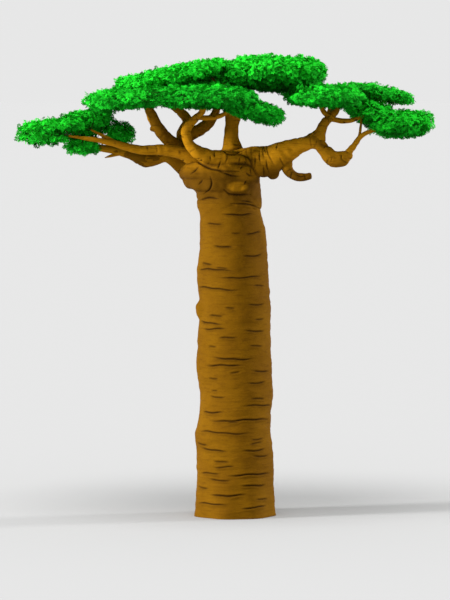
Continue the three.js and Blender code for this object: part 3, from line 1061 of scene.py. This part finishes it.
    def rings(self, corners: np.ndarray) -> tuple[np.ndarray, np.ndarray, np.ndarray]:
        """Find the creases across each bough, and the crotches where two of them part.

        Args:
            corners: The skin's corners.

        Returns:
            How deep in a ring, and how deep in a crotch, each corner lies, and how dark its limb is
            painted for shade, each from 0 to 1.
        """
        rng = np.random.default_rng(self.seed)
        first = self.head_gap(corners)
        second = np.full(len(corners), np.inf)
        deep = np.zeros(len(corners))
        shade = np.zeros(len(corners))
        for limb in self.limbs:
            line = limb.line(0.07)
            low, high = line[:, :3].min(0) - 1.0, line[:, :3].max(0) + 1.0
            near = np.flatnonzero(np.all((corners > low) & (corners < high), axis=1))
            if not len(near):
                continue
            row, _ = nearest(corners[near], line[:, :3])
            offset = corners[near] - line[row, :3]
            away = np.linalg.norm(offset, axis=1)
            gap = away - line[row, 3]
            groove = self.ring_grooves(line, row, offset, rng) * (1 - smooth_step(np.abs(gap), 0.05, 0.14))
            closer = gap < first[near]
            second[near] = np.where(closer, first[near], np.minimum(second[near], gap))
            first[near] = np.where(closer, gap, first[near])
            deep[near] = np.where(closer, groove, deep[near])
            shade[near] = np.where(closer, limb.shade, shade[near])
        apart = np.clip(second - np.minimum(first, 0.03), 0, None)
        return deep, np.exp(-((apart / self.crotch_width) ** 2)), shade

    def ring_grooves(
        self, line: np.ndarray, row: np.ndarray, offset: np.ndarray, rng: np.random.Generator
    ) -> np.ndarray:
        """Run short creases across a limb.

        Args:
            line: Points and radii along the limb.
            row: The point of the line that each corner is nearest to.
            offset: Where each corner lies, seen from that point.
            rng: Chooses where the creases run.

        Returns:
            How deep in a crease each corner lies, from 0 to 1.
        """
        places = lengths_along(line[:, :3])
        ahead = unit(np.gradient(line[:, :3], axis=0))[row]
        side, over = carried_frames(line[:, :3])
        along = places[row] + np.einsum("ij,ij->i", offset, ahead)
        turn = np.arctan2(np.einsum("ij,ij->i", offset, over[row]), np.einsum("ij,ij->i", offset, side[row]))
        groove = np.zeros(len(row))
        at = 0.3
        while at < places[-1]:
            middle, half = rng.uniform(-math.pi, math.pi), rng.uniform(0.5, 1.5)
            bend = 0.05 * np.sin(turn * 2 + rng.uniform(0, 6.3))
            gap = np.abs(within_half_turn(turn - middle))
            cut = np.exp(-(((along - at - bend) / self.ring_width) ** 2))
            cut *= 1 - smooth_step(gap / half, 0.4, 1.0)
            groove = np.maximum(groove, cut * rng.uniform(0.5, 1.0))
            at += rng.uniform(0.12, 0.42)
        return groove

    def twiggy(self) -> bpy.types.Mesh:
        """Build the slender limbs, each in a skin of its own."""
        joined = bmesh.new()
        for limb in self.limbs:
            if limb.stations[0][3] <= self.slender or limb.stations[-1][3] < self.fine:
                joined.from_mesh(limb.tube(14, 0.06))
        mesh = bpy.data.meshes.new("slender")
        joined.to_mesh(mesh)
        joined.free()
        corners, outwards = corners_of(mesh), normals_of(mesh)
        set_corners(mesh, corners + outwards * (0.008 * Waves(23, 0.35, 18).at(corners))[:, None])
        store(mesh, "crease", smooth_step(Waves(24, 0.25, 16, (1, 1, 0.6)).at(corners), 1.0, 1.8))
        shade_smooth(mesh)
        return mesh


# ------------------------------------------------------------------------------ foliage
class Sites(NamedTuple):
    """Where sprays hang: place, direction out of the mass, and height in it, from 0 to 1."""

    places: np.ndarray
    outs: np.ndarray
    rises: np.ndarray

    def without_strays(self, reach: float = 0.55, least: int = 6) -> "Sites":
        """Leave out the sprays that hang alone.

        Args:
            reach: How near its neighbours a spray hangs.
            least: How many sprays, itself among them, there are within that reach.

        Returns:
            The other sprays.
        """
        tree = KDTree(len(self.places))
        for number, place in enumerate(self.places):
            tree.insert(place, number)
        tree.balance()
        stay = [len(tree.find_range(place, reach)) >= least for place in self.places]
        return Sites(self.places[stay], self.outs[stay], self.rises[stay])


@dataclass
class Mass:
    """One mass of foliage, which tells where in it a spray of leaves may hang."""

    node: str
    seed: int
    spacing: float = 0.238
    skin: tuple = (0.03, 0.46)  # how deep under the solid's skin most sprays hang
    inner_share: float = 0.15  # share of the tries further in that are kept
    clump: float = 0.11  # how deep the hollows between clumps are
    clump_size: float = 0.75
    tries: float = 210.0  # tries to a cubic metre of the mass's box
    bare_width: float = 0.3  # how far from the middle of a bare limb sprays start
    bare_front: float = 0.35  # sprays hang over it only this far behind its middle
    # Painted light: how much lighter or darker than most the greens of a mass are dealt, to make up for the
    # light and shade that the mass gets
    painted_light_tones: tuple = (
        ("mass_top", 0.6), ("mass_top_left", 0.3), ("mass_left", 0.62), ("mass_rear", 0.45),
        ("mass_front", 0.15), ("mass_low_left", 0.1), ("mass_low_tongue", 0.25), ("mass_right", 0.27),
        ("mass_right_lobe", 0.2), ("mass_right_under", 0.15),
    )

    @property
    def tone(self) -> float:
        """Add up how much lighter or darker the mass is painted, as painted light."""
        return sum(change for start, change in self.painted_light_tones if self.node.startswith(start))

    @property
    def side(self) -> Side:
        """Tell which part of the crown the mass belongs to."""
        if self.node == "mass_front_right":
            return Side.FRONT
        if self.node.startswith("mass_left"):
            return Side.LEFT
        if "top" in self.node or "rear" in self.node and self.node != "mass_rear_right":
            return Side.TOP
        return Side.RIGHT if "right" in self.node else Side.MIDDLE

    def sites(self) -> Sites:
        """Choose the places of the sprays: most near the skin of the mass, and none too close.

        Returns:
            Where they hang.
        """
        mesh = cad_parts[self.node].data
        tree = BVHTree.FromPolygons([v.co for v in mesh.vertices], [p.vertices for p in mesh.polygons])
        low, high = (np.array(c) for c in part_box(self.node))
        rng = np.random.default_rng(self.seed)
        clumps = Waves(self.seed + 100, self.clump_size)
        volume = float(np.prod(high - low))
        tries = rng.uniform(low, high, (int(volume * self.tries), 3))
        tries = tries[~self.hides_limb(tries)]
        swell = clumps.at(tries)
        kept: list[np.ndarray] = []
        outs: list[np.ndarray] = []
        rises: list[float] = []
        taken: dict[tuple, list[int]] = {}
        for place, lump, luck in zip(tries, swell, rng.random(len(tries))):
            spot, normal, _, depth = tree.find_nearest(Vector(place))
            if (Vector(place) - spot).dot(normal) > 0:
                continue
            start = self.skin[0] + self.clump * (0.5 - 0.5 * lump)
            if depth < start or (depth > self.skin[1] and luck > self.inner_share):
                continue
            cell = tuple((place // self.spacing).astype(int))
            if self.crowded(cell, place, kept, taken):
                continue
            taken.setdefault(cell, []).append(len(kept))
            kept.append(place)
            outs.append(np.array(normal))
            rises.append(self.rise(tree, Vector(place)))
        return Sites(np.array(kept), np.array(outs), np.array(rises)).without_strays()

    def hides_limb(self, places: np.ndarray) -> np.ndarray:
        """Tell which places hang in front of a bare limb."""
        hides = np.zeros(len(places), bool)
        for limb in LIMBS:
            if limb.bare and limb.side is self.side:
                line = limb.line(0.1)
                gaps = np.linalg.norm(places[:, None, [0, 2]] - line[None][..., [0, 2]], axis=2)
                row = gaps.argmin(axis=1)
                before = places[:, 1] < line[row, 1] + self.bare_front
                hides |= (gaps.min(axis=1) < self.bare_width) & before
        return hides

    @staticmethod
    def rise(tree: BVHTree, place: Vector) -> float:
        """Tell how high a place lies between the mass's underside, 0, and its top, 1."""
        over = tree.ray_cast(place, Vector((0, 0, 1)))[3] or 0.0
        under = tree.ray_cast(place, Vector((0, 0, -1)))[3] or 0.0
        return under / max(under + over, 0.05)

    def crowded(self, cell: tuple, place: np.ndarray, kept: list, taken: dict) -> bool:
        """Tell whether another spray hangs too near a place.

        Args:
            cell: The cell of the grid that the place lies in.
            place: The place.
            kept: The places of the sprays so far.
            taken: For each cell, the numbers of the sprays in it.

        Returns:
            Whether one is nearer than the spacing.
        """
        for i in (-1, 0, 1):
            for j in (-1, 0, 1):
                for k in (-1, 0, 1):
                    for other in taken.get((cell[0] + i, cell[1] + j, cell[2] + k), ()):
                        if np.sum((kept[other] - place) ** 2) < self.spacing**2:
                            return True
        return False


@dataclass
class Growth:
    """Branches that grow from some limbs, step by step, towards the sprays that draw them."""

    limbs: list[Limb]
    seed: int
    step: float = 0.27
    reach: float = 0.36  # a spray is reached from this near
    lift: float = 0.12  # how much a branch turns up at each step
    stray: float = 0.12  # how much it strays
    rounds: int = 90
    points: np.ndarray = field(init=False)
    parents: np.ndarray = field(init=False)
    limits: np.ndarray = field(init=False)
    homes: np.ndarray = field(init=False)

    def grow(self, sites: np.ndarray) -> None:
        """Grow until every spray is reached.

        Args:
            sites: The places of the sprays.
        """
        rng = np.random.default_rng(self.seed)
        starts = []
        for limb in self.limbs:
            line = limb.line(self.step)
            first = int(len(line) * limb.bears_from)
            starts.extend(line[first:])
        starts = np.array(starts)
        points = [starts[:, :3]]
        parents = [np.full(len(starts), -1)]
        homes = np.full(len(sites), -1)
        near, gap = nearest(sites, starts[:, :3])
        total = len(starts)
        for _ in range(self.rounds):
            waiting = homes < 0
            reached = waiting & (gap < self.reach)
            homes[reached] = near[reached]
            waiting &= ~reached
            if not waiting.any():
                break
            everything = np.concatenate(points)
            pull = unit(sites[waiting] - everything[near[waiting]])
            heads, which = np.unique(near[waiting], return_inverse=True)
            force = np.zeros((len(heads), 3))
            np.add.at(force, which, pull)
            force = unit(unit(force) + rng.normal(0, self.stray, force.shape) + UP * self.lift)
            fresh = everything[heads] + force * self.step
            points.append(fresh)
            parents.append(heads)
            newest, distance = nearest(sites, fresh)
            better = distance < gap
            near[better], gap[better] = newest[better] + total, distance[better]
            total += len(fresh)
        homes[homes < 0] = near[homes < 0]
        self.points, self.parents = np.concatenate(points), np.concatenate(parents)
        self.limits, self.homes = starts[:, 3], homes


@dataclass
class Branches:
    """The wood inside the crown: every branch as one tapering tube, and a twig to each spray."""

    growth: Growth
    sites: np.ndarray
    tip: float = 0.0095
    power: float = 0.44
    sides: int = 5
    greens_below: tuple = (0.035, 0.10)  # a branch thinner than this is a green shoot
    twig: tuple = (0.011, 0.009, 0.006)  # radius at a twig's root, middle and tip
    twig_bend: float = 0.02
    load: np.ndarray = field(init=False)  # how many sprays hang beyond each point
    seed: int = 3

    def radii(self) -> np.ndarray:
        """Give each point the radius that the sprays beyond it ask for."""
        growth = self.growth
        load = np.bincount(growth.homes, minlength=len(growth.points)).astype(float)
        for i in range(len(load) - 1, -1, -1):
            if growth.parents[i] >= 0:
                load[growth.parents[i]] += load[i]
        self.load = load
        radius = self.tip * np.maximum(load, 1) ** self.power
        roots = len(growth.limits)
        radius[:roots] = np.minimum(radius[:roots], growth.limits * 0.95)
        for i in range(roots, len(radius)):
            radius[i] = min(radius[i], radius[growth.parents[i]])
        return radius

    def chains(self) -> list[list[int]]:
        """Follow the heaviest child from each fork, so that every branch is one line of points."""
        growth = self.growth
        children: dict[int, list[int]] = {}
        for child, parent in enumerate(growth.parents):
            if parent >= 0 and self.load[child] > 0:
                children.setdefault(int(parent), []).append(child)
        made = []
        heads = [(i, None) for i in range(len(growth.limits))]
        while heads:
            start, base = heads.pop()
            chain = [start] if base is None else [base, start]
            while children.get(chain[-1]):
                after = sorted(children[chain[-1]], key=lambda c: -self.load[c])
                heads.extend((other, chain[-1]) for other in after[1:])
                chain.append(after[0])
            if len(chain) > 1:
                made.append(chain)
        return made

    def mesh(self) -> bpy.types.Mesh:
        """Build the branches and twigs.

        Returns:
            One mesh, with its green shoots stored as creases.
        """
        radius = self.radii()
        points = self.growth.points
        corners: list[np.ndarray] = []
        faces: list[np.ndarray] = []
        thin: list[np.ndarray] = []
        count = 0
        for chain in self.chains():
            line = points[chain].copy()
            if len(chain) > 3:
                line[1:-1] = 0.5 * line[1:-1] + 0.25 * (line[:-2] + line[2:])
            thick = radius[chain].copy()
            thick[0] = min(thick[0], thick[1] * 1.25)
            count += self.add_tube(line, thick, self.sides, corners, faces, count)
            thin.append(np.append(np.repeat(thick, self.sides), thick[-1]))
        rng = np.random.default_rng(self.seed)
        twig = np.array(self.twig)
        for site, home in zip(self.sites, self.growth.homes):
            middle = (site + points[home]) / 2 + rng.normal(0, self.twig_bend, 3)
            line = np.array([points[home], middle, site])
            added = self.add_tube(line, twig, 3, corners, faces, count)
            thin.append(np.zeros(added))
            count += added
        mesh = mesh_from_triangles(np.concatenate(corners), np.concatenate(faces))
        store(mesh, "crease", 1 - smooth_step(np.concatenate(thin), *self.greens_below))
        shade_smooth(mesh)
        return mesh

    @staticmethod
    def add_tube(
        line: np.ndarray, thick: np.ndarray, sides: int, corners: list, faces: list, first: int
    ) -> int:
        """Add one tapering tube to the lists.

        Args:
            line: The points along its middle.
            thick: Its radius at each point.
            sides: Faces round it.
            corners: The list that its corners go to.
            faces: The list that its faces go to.
            first: The number of its first corner.

        Returns:
            How many corners it has.
        """
        side, over = carried_frames(line)
        turn = np.linspace(0, 2 * math.pi, sides, endpoint=False)
        ring = side[:, None] * np.cos(turn)[None, :, None] + over[:, None] * np.sin(turn)[None, :, None]
        body = (line[:, None] + ring * thick[:, None, None]).reshape(-1, 3)
        tip = line[-1] + unit(line[-1] - line[-2]) * thick[-1] * 2
        corners.append(np.vstack([body, tip]))
        row = np.arange(len(line) - 1)[:, None] * sides
        here, there = np.arange(sides)[None], (np.arange(sides)[None] + 1) % sides
        a, b = row + here, row + there
        c, d = b + sides, a + sides
        last = (len(line) - 1) * sides
        top = np.column_stack([last + here[0], last + there[0], np.full(sides, len(body))])
        quads = [np.stack([a, b, c], axis=2).reshape(-1, 3), np.stack([a, c, d], axis=2).reshape(-1, 3)]
        faces.append(np.vstack([*quads, top]) + first)
        return len(body) + 1


@dataclass
class Sprays:
    """Sprays of fingered leaves, each spray in one of the plain greens."""

    leaves: int = 7
    leaflets: int = 6
    fan: float = math.radians(235)
    length: float = 0.165
    width: float = 0.075
    stalk: tuple = (0.05, 0.17)
    steps: tuple = (0.09, 0.22, 0.36, 0.86)  # where each green ends, darkest first
    seed: int = 9

    def leaf(self) -> tuple[np.ndarray, np.ndarray]:
        """Shape one fingered leaf: a fan of leaflets, each folded a little along its rib.

        Returns:
            The corners, with Y away from the stalk and Z up, and the faces.
        """
        corners, faces = [], []
        for i in range(self.leaflets):
            angle = (i / (self.leaflets - 1) - 0.5) * self.fan
            long = self.length * (1.0 - 0.35 * abs(angle) / (self.fan / 2))
            ahead = np.array([math.sin(angle), math.cos(angle), 0.0])
            across = np.array([math.cos(angle), -math.sin(angle), 0.0])
            wide = across * self.width / 2 * (long / self.length) ** 0.5
            droop = UP * 0.16 * long
            start = ahead * 0.012
            widest = ahead * long * 0.62
            sag = droop * 0.3
            corners += [start, widest + wide - sag, ahead * long - droop, widest - wide - sag]
            base = 4 * i
            faces += [(base, base + 1, base + 2), (base, base + 2, base + 3)]
        return np.array(corners), np.array(faces)

    def shades(self, sites: Sites, tone: float, rng: np.random.Generator) -> np.ndarray:
        """Deal a green to each spray, as painted light and shade: light on top and at the tips, dark along
        the underside.

        Args:
            sites: Where the sprays hang.
            tone: How much lighter or darker than most the mass is painted, as painted light.
            rng: Sets single sprays off from their neighbours.

        Returns:
            The number of each spray's green.
        """
        sideways = 1 - np.abs(sites.outs[:, 2])
        # Painted light and shade: sprays high in the mass and facing sideways get lighter greens, those low
        # in it darker ones, and those facing up a little darker.
        score = sites.rises + 0.28 * sideways - 0.15 * np.clip(sites.outs[:, 2], 0, 1)
        score += tone * smooth_step(score, 0.05, 0.3)
        score += rng.normal(0, 0.10, len(score)) + 0.08 * Waves(self.seed, 1.6).at(sites.places)
        return (len(self.steps) - np.searchsorted(self.steps, score)).astype(int)

    def mesh(self, sites: Sites, tone: float, number: int) -> bpy.types.Mesh:
        """Hang the sprays of one mass.

        Args:
            sites: Where the sprays hang.
            tone: How much lighter or darker than most the mass is painted, as painted light.
            number: The number of the mass, which seeds it.

        Returns:
            The leaves of the mass in one mesh.
        """
        rng = np.random.default_rng(self.seed * 1000 + number)
        outs = sites.outs
        count, many = len(outs), self.leaves
        axis = unit(outs * 0.55 + UP * 0.55 + rng.normal(0, 0.22, (count, 3)))
        side = unit(np.cross(axis, unit(rng.normal(size=(count, 3)))))
        over = np.cross(axis, side)
        turn = np.arange(many)[None] * 2.4 + rng.uniform(0, 6.3, (count, 1))
        rise = np.radians(rng.uniform(-18, 52, (count, many)))[..., None]
        radial = np.cos(turn)[..., None] * side[:, None] + np.sin(turn)[..., None] * over[:, None]
        ahead = np.cos(rise) * radial + np.sin(rise) * axis[:, None]
        stalk = rng.uniform(*self.stalk, (count, many, 1))
        origin = sites.places[:, None] + ahead * stalk
        ahead = unit(ahead - UP * 0.22 + rng.normal(0, 0.15, ahead.shape))
        face = axis[:, None] + rng.normal(0, 0.3, ahead.shape)
        face = unit(face - ahead * np.sum(face * ahead, axis=2, keepdims=True))
        across = np.cross(ahead, face)
        size = rng.uniform(0.8, 1.2, (count, many, 1, 1))
        leaf, faces = self.leaf()
        shape = (
            across[:, :, None] * leaf[None, None, :, 0:1]
            + ahead[:, :, None] * leaf[None, None, :, 1:2]
            + face[:, :, None] * leaf[None, None, :, 2:3]
        )
        corners = (origin[:, :, None] + shape * size).reshape(-1, 3)
        firsts = np.arange(count * many)[:, None, None] * len(leaf)
        every = (faces[None] + firsts).reshape(-1, 3)
        shades = np.repeat(self.shades(sites, tone, rng), many * len(faces))
        return mesh_from_triangles(corners, every, shades)


# ------------------------------------------------------------------------------ tree
@dataclass
class Crown:
    """All foliage, and the branches that carry it."""

    bark: BarkFinish = BarkFinish(
        "bark_of_branches",
        light=(0.130, 0.062, 0.006),
        middle=(0.100, 0.046, 0.005),
        dark=(0.060, 0.027, 0.004),
        crease=(0.014, 0.072, 0.006),
        young_and_painted_light=(0.140, 0.066, 0.005),
    )

    first_seed: int = 77  # the first part of the crown grows by this seed, and the others by the next

    def build(self) -> None:
        """Grow the crown and put its pieces in the scene."""
        nodes = [name for name in sorted(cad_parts) if name.startswith("mass")]
        masses = [Mass(name, number) for number, name in enumerate(nodes)]
        sites = [mass.sites() for mass in masses]
        log.info("%d sprays", sum(len(s.places) for s in sites))
        bark = self.bark.material()
        for number, side in enumerate(Side):
            places = np.concatenate([s.places for s, mass in zip(sites, masses) if mass.side is side])
            growth = Growth([limb for limb in LIMBS if limb.side is side], self.first_seed + number)
            growth.grow(places)
            finish_piece(Branches(growth, places).mesh(), f"branches_{side.value}", [bark])
        greens = [LeafFinish(shade).material() for shade in Leaf]
        for number, (mass, hung) in enumerate(zip(masses, sites)):
            mesh = Sprays().mesh(hung, mass.tone, number)
            finish_piece(mesh, mass.node.replace("mass", "leaves"), greens, [mass.node])


@dataclass
class Wood:
    """The trunk and the boughs in their bark."""

    bark: BarkFinish = BarkFinish("bark_of_trunk")

    def build(self) -> None:
        """Put the trunk and the boughs in the scene."""
        material = self.bark.material()
        finish_piece(Trunk().mesh(), "trunk_bark", [material], ["trunk"])
        boughs = Boughs()
        nodes = [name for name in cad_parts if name.startswith("bough")]
        starts = (("bough_left",), ("bough_front", "bough_middle", "bough_rear"), ("bough_right",))
        for third, side, start in zip(boughs.thirds(), ("left", "middle", "right"), starts):
            replaced = [name for name in nodes if name.startswith(start)]
            finish_piece(third, f"bough_bark_{side}", [material], replaced)
        finish_piece(boughs.twiggy(), "slender_bough_bark", [material])


# ------------------------------------------------------------------------------ studio
@dataclass
class Studio:
    """A pale floor, a soft key from the left, a rim from the right, and a level view of the crown."""

    eye: tuple = (-0.515, -200.0, 23.5)
    aim: tuple = (-0.515, 0.0, 11.7)
    tall: float = 32.52  # height of the picture at the tree
    sensor: float = 36.0
    sight: float = 10000.0
    sky: float = 0.80
    floor_shade: float = 0.396
    floor_size: float = 4000.0
    floor_drop: float = 0.005  # how far the floor lies under the tree's cut
    # Each soft sun: name, where it stands, strength, and width in degrees
    suns: tuple = (
        ("key", (-0.951, -0.309, 0.213), 5.6, 10.0),
        ("rim", (0.966, 0.259, 0.213), 2.9, 10.0),
        ("top", (-0.259, -0.966, 3.08), 2.2, 35.0),
    )

    def build(self) -> None:
        """Put the camera, the lights and the floor in the scene."""
        scene = bpy.context.scene
        scene.view_settings.view_transform = "Standard"
        world = bpy.data.worlds.new("sky")
        world.use_nodes = True
        world.node_tree.nodes["Background"].inputs["Color"].default_value = (self.sky,) * 3 + (1.0,)
        scene.world = world
        for name, stands, strength, width in self.suns:
            sun = bpy.data.lights.new(name, "SUN")
            sun.energy = strength
            sun.angle = math.radians(width)
            lamp = bpy.data.objects.new(name, sun)
            lamp.rotation_mode = "QUATERNION"
            lamp.rotation_quaternion = Vector(stands).to_track_quat("Z", "Y")
            scene.collection.objects.link(lamp)
        camera = bpy.data.cameras.new("camera")
        holder = bpy.data.objects.new("camera", camera)
        line = Vector(self.aim) - Vector(self.eye)
        camera.sensor_width = self.sensor
        camera.lens = self.sensor * line.length / self.tall
        camera.clip_end = self.sight
        holder.location = self.eye
        holder.rotation_mode = "QUATERNION"
        holder.rotation_quaternion = line.to_track_quat("-Z", "Y")
        scene.collection.objects.link(holder)
        scene.camera = holder
        self.floor()

    def floor(self) -> None:
        """Lay the plain floor under the tree."""
        shape = bmesh.new()
        bmesh.ops.create_grid(shape, x_segments=1, y_segments=1, size=self.floor_size)
        bmesh.ops.translate(shape, verts=shape.verts, vec=(0, 0, -self.floor_drop))
        mesh = bpy.data.meshes.new("floor")
        shape.to_mesh(mesh)
        shape.free()
        floor = bpy.data.objects.new("floor", mesh)
        made = bpy.data.materials.new("floor")
        made.use_nodes = True
        shader = made.node_tree.nodes["Principled BSDF"]
        shader.inputs["Base Color"].default_value = (self.floor_shade,) * 3 + (1.0,)
        shader.inputs["Roughness"].default_value = 1.0
        shader.inputs["Specular IOR Level"].default_value = 0.0
        mesh.materials.append(made)
        bpy.context.scene.collection.objects.link(floor)


def main() -> None:
    """Build the tree and the studio."""
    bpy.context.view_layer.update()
    Wood().build()
    Crown().build()
    Studio().build()


if __name__ == "__main__":
    main()
